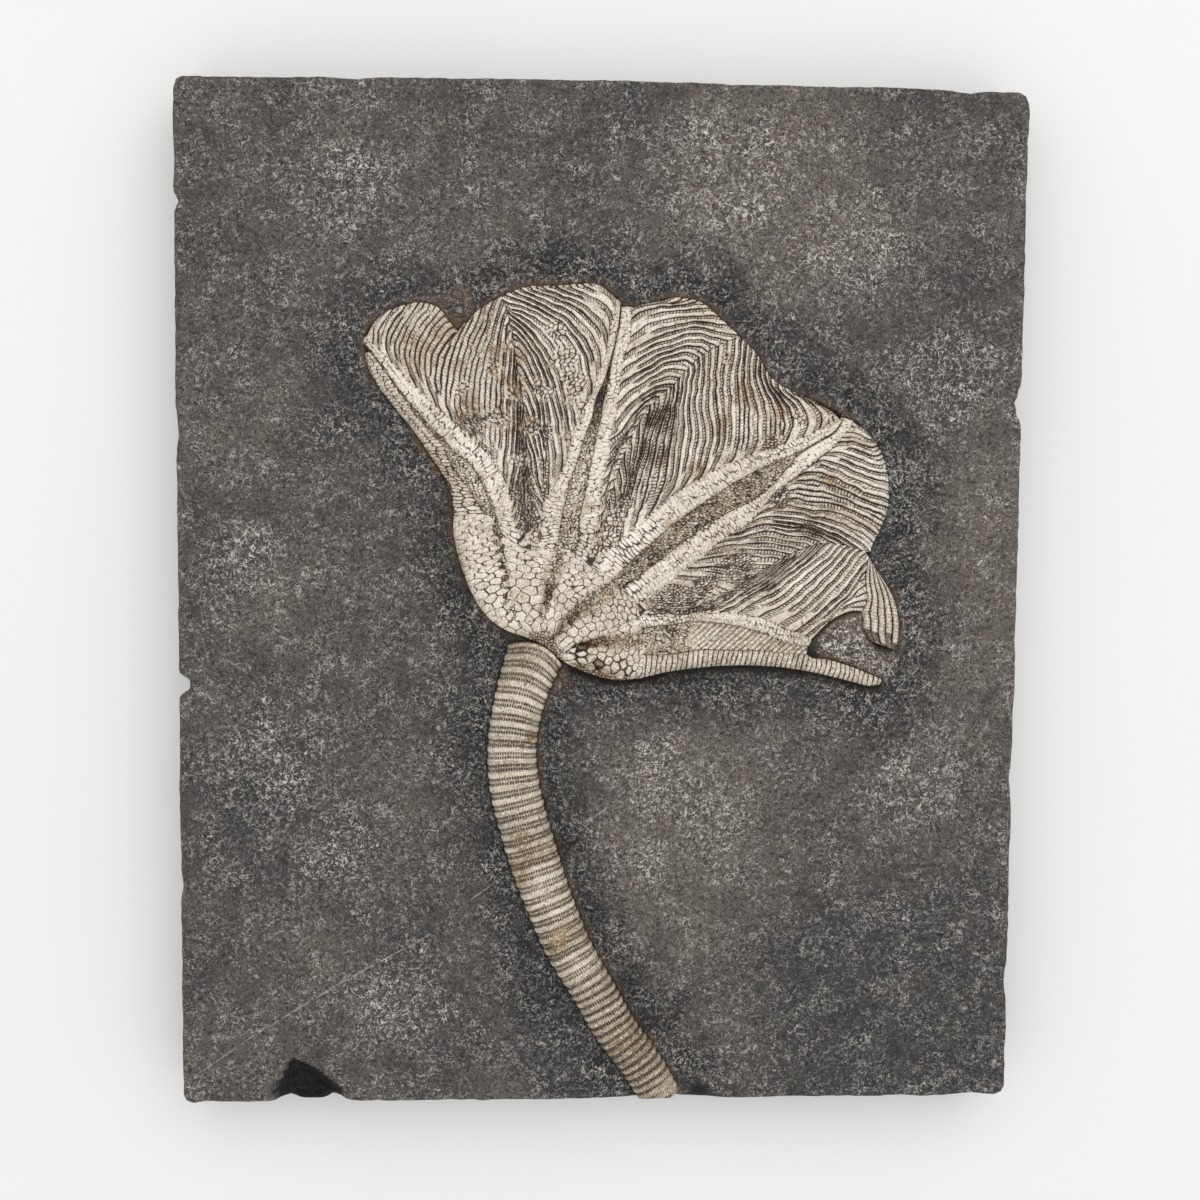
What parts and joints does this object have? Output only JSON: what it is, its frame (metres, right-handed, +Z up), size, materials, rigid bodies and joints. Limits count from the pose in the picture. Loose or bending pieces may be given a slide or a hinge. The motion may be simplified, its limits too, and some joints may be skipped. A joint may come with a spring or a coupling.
{
  "type": "crinoid fossil",
  "caption": "Crinoid fossil in low relief on a flat slab of dark shale: a fanned crown of feathery arms on a plated cup, and a curved, ringed column.",
  "frame": {"origin": "middle of the slab's flat underside", "axes": "+Z up, out of the face that carries the fossil; +Y along the slab from the column's cut end to the crown; +X to the crown's right"},
  "size_m": [0.2064, 0.251, 0.0222],
  "materials": {
    "dark_shale": "matte",
    "column_calcite": "satin",
    "pale_calcite": "satin",
    "stained_skin": "matte"
  },
  "bodies": {
    "root": {"slab": "dark_shale", "stem": "column_calcite", "cup": "pale_calcite", "ray_1_arm": "pale_calcite", "ray_2_left_arm": "pale_calcite", "ray_2_right_arm": "pale_calcite", "ray_3_left_arm": "pale_calcite", "ray_3_right_arm": "pale_calcite", "ray_4_left_arm": "pale_calcite", "ray_4_right_arm": "pale_calcite", "ray_5_arm": "pale_calcite", "ray_5_arm_tips": "pale_calcite", "web_1_2": "stained_skin", "web_2_3": "stained_skin", "web_3_4": "stained_skin", "web_4_5": "stained_skin"}
  },
  "joints": []
}
